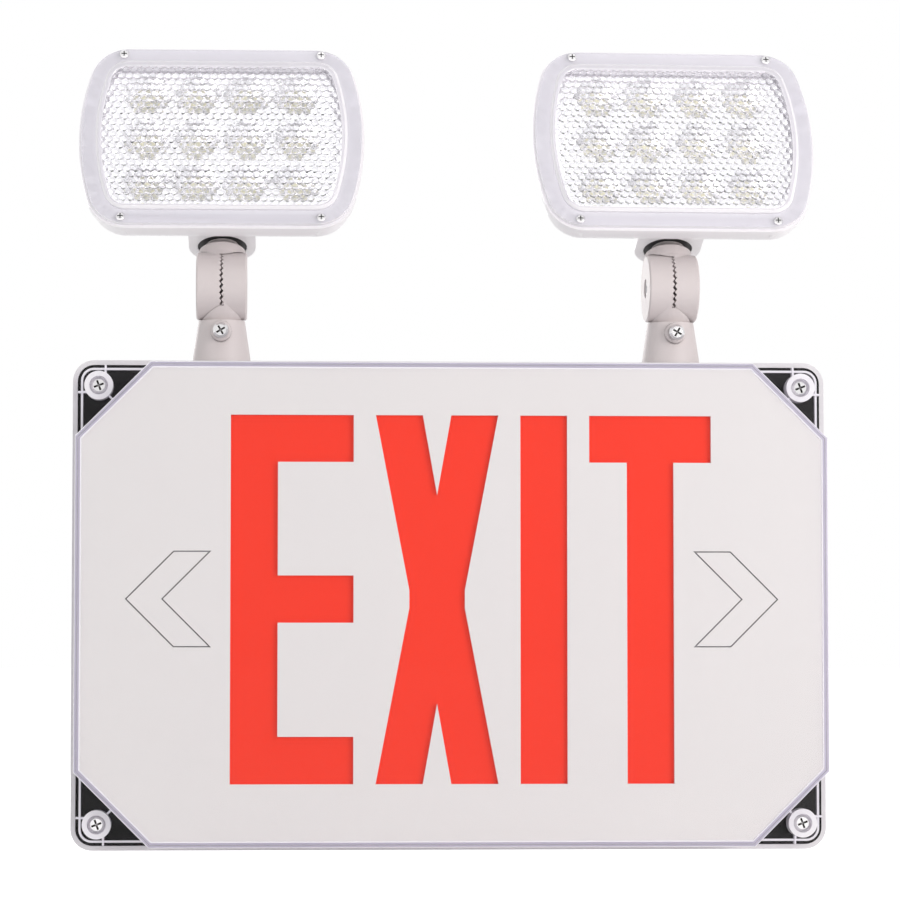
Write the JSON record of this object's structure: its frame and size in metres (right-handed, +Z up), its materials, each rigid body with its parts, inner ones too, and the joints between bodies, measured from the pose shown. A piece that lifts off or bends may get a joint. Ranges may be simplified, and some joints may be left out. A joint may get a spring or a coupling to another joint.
{
  "type": "emergency exit light",
  "caption": "Wet-location exit sign with a clear gasketed cover over a red-lettered panel and two swivelling, tilting emergency lamp heads on serrated knuckle arms.",
  "frame": {"origin": "centre of the back box's rear face, which lies against the wall, and of its four wall screw holes", "axes": "+X to the right seen from in front, +Y into the wall, +Z up; the sign's face looks along -Y"},
  "size_m": [0.3202, 0.082, 0.3415],
  "materials": {
    "box_grey": "fine satin",
    "clear_cover": "clear polycarbonate",
    "gasket_black": "matt",
    "bright_screw": "bright zinc",
    "zinc_steel": "zinc plated",
    "legend_white": "satin white",
    "legend_red": "translucent red",
    "inner_white": "satin white",
    "board_white": "solder mask",
    "diode_red": "clear epoxy",
    "board_green": "solder mask",
    "transformer_core": "varnished laminations",
    "capacitor_can": "shrink sleeve",
    "terminal_green": "moulded",
    "battery_sleeve": "shrink sleeve",
    "button_dark": "smooth",
    "switch_black": "moulded",
    "lamp_green": "tinted clear",
    "arm_grey": "fine satin",
    "head_white": "fine satin",
    "gasket_pale": "matt",
    "lens_clear": "clear polycarbonate",
    "reflector_bright": "bright vacuum metallised",
    "led_plate": "white mask on aluminium",
    "led_yellow": "phosphor"
  },
  "bodies": {
    "sign": {"back_box": "box_grey", "front_cover": "clear_cover", "button_bezel": "box_grey", "legend_tray": "legend_white", "red_diffuser": "legend_red", "diode_plate": "inner_white", "plate_screws": "bright_screw", "diode_strips": "board_white", "sign_diodes": "diode_red", "charger_board": "board_green", "board_screws": "bright_screw", "transformer": "transformer_core", "capacitors": "capacitor_can", "terminal_block": "terminal_green", "battery_pack": "battery_sleeve", "battery_strap": "zinc_steel", "strap_screws": "bright_screw", "wire_grommet": "gasket_black", "test_switch": "switch_black", "status_lamp": "lamp_green", "cover_gasket": "gasket_black", "cover_screws": "bright_screw", "left_arm_foot": "arm_grey", "left_foot_seal": "gasket_black", "left_foot_locknut": "zinc_steel", "left_clamp_screw": "bright_screw", "right_arm_foot": "arm_grey", "right_foot_seal": "gasket_black", "right_foot_locknut": "zinc_steel", "right_clamp_screw": "bright_screw"},
    "button": {"test_button": "button_dark"},
    "left_arm": {"left_lower_knuckle": "arm_grey", "left_knuckle_bolt": "zinc_steel"},
    "left_head": {"left_upper_knuckle": "arm_grey", "left_knuckle_nut": "zinc_steel", "left_collar_seal": "gasket_black", "left_stem_nut": "zinc_steel", "left_lamp_housing": "head_white", "left_lamp_gasket": "gasket_pale", "left_lamp_lens": "lens_clear", "left_lens_screws": "bright_screw", "left_reflector": "reflector_bright", "left_led_board": "led_plate", "left_lamp_leds": "led_yellow"},
    "right_arm": {"right_lower_knuckle": "arm_grey", "right_knuckle_bolt": "zinc_steel"},
    "right_head": {"right_upper_knuckle": "arm_grey", "right_knuckle_nut": "zinc_steel", "right_collar_seal": "gasket_black", "right_stem_nut": "zinc_steel", "right_lamp_housing": "head_white", "right_lamp_gasket": "gasket_pale", "right_lamp_lens": "lens_clear", "right_lens_screws": "bright_screw", "right_reflector": "reflector_bright", "right_led_board": "led_plate", "right_lamp_leds": "led_yellow"}
  },
  "joints": [
    {"name": "left_pan", "type": "hinge", "parent": "sign", "child": "left_arm", "pos_m": [-0.0965, -0.0285, 0.1366], "axis": [0, 0, 1], "range_deg": [-89.5, 90.5]},
    {"name": "left_tilt", "type": "hinge", "parent": "left_arm", "child": "left_head", "pos_m": [-0.0965, -0.0285, 0.1366], "axis": [1, -0.0087, 0], "range_deg": [-24, 71]},
    {"name": "right_pan", "type": "hinge", "parent": "sign", "child": "right_arm", "pos_m": [0.0965, -0.0285, 0.1366], "axis": [0, 0, 1], "range_deg": [-92, 88]},
    {"name": "right_tilt", "type": "hinge", "parent": "right_arm", "child": "right_head", "pos_m": [0.0965, -0.0285, 0.1366], "axis": [0.9994, 0.0349, 0], "range_deg": [-24, 71]},
    {"name": "test_button_press", "type": "slide", "parent": "sign", "child": "button", "axis": [-1, 0, 0], "range_m": [0, 0.0025], "stiffness_N_per_m": 400, "springref_m": -0.002}
  ]
}
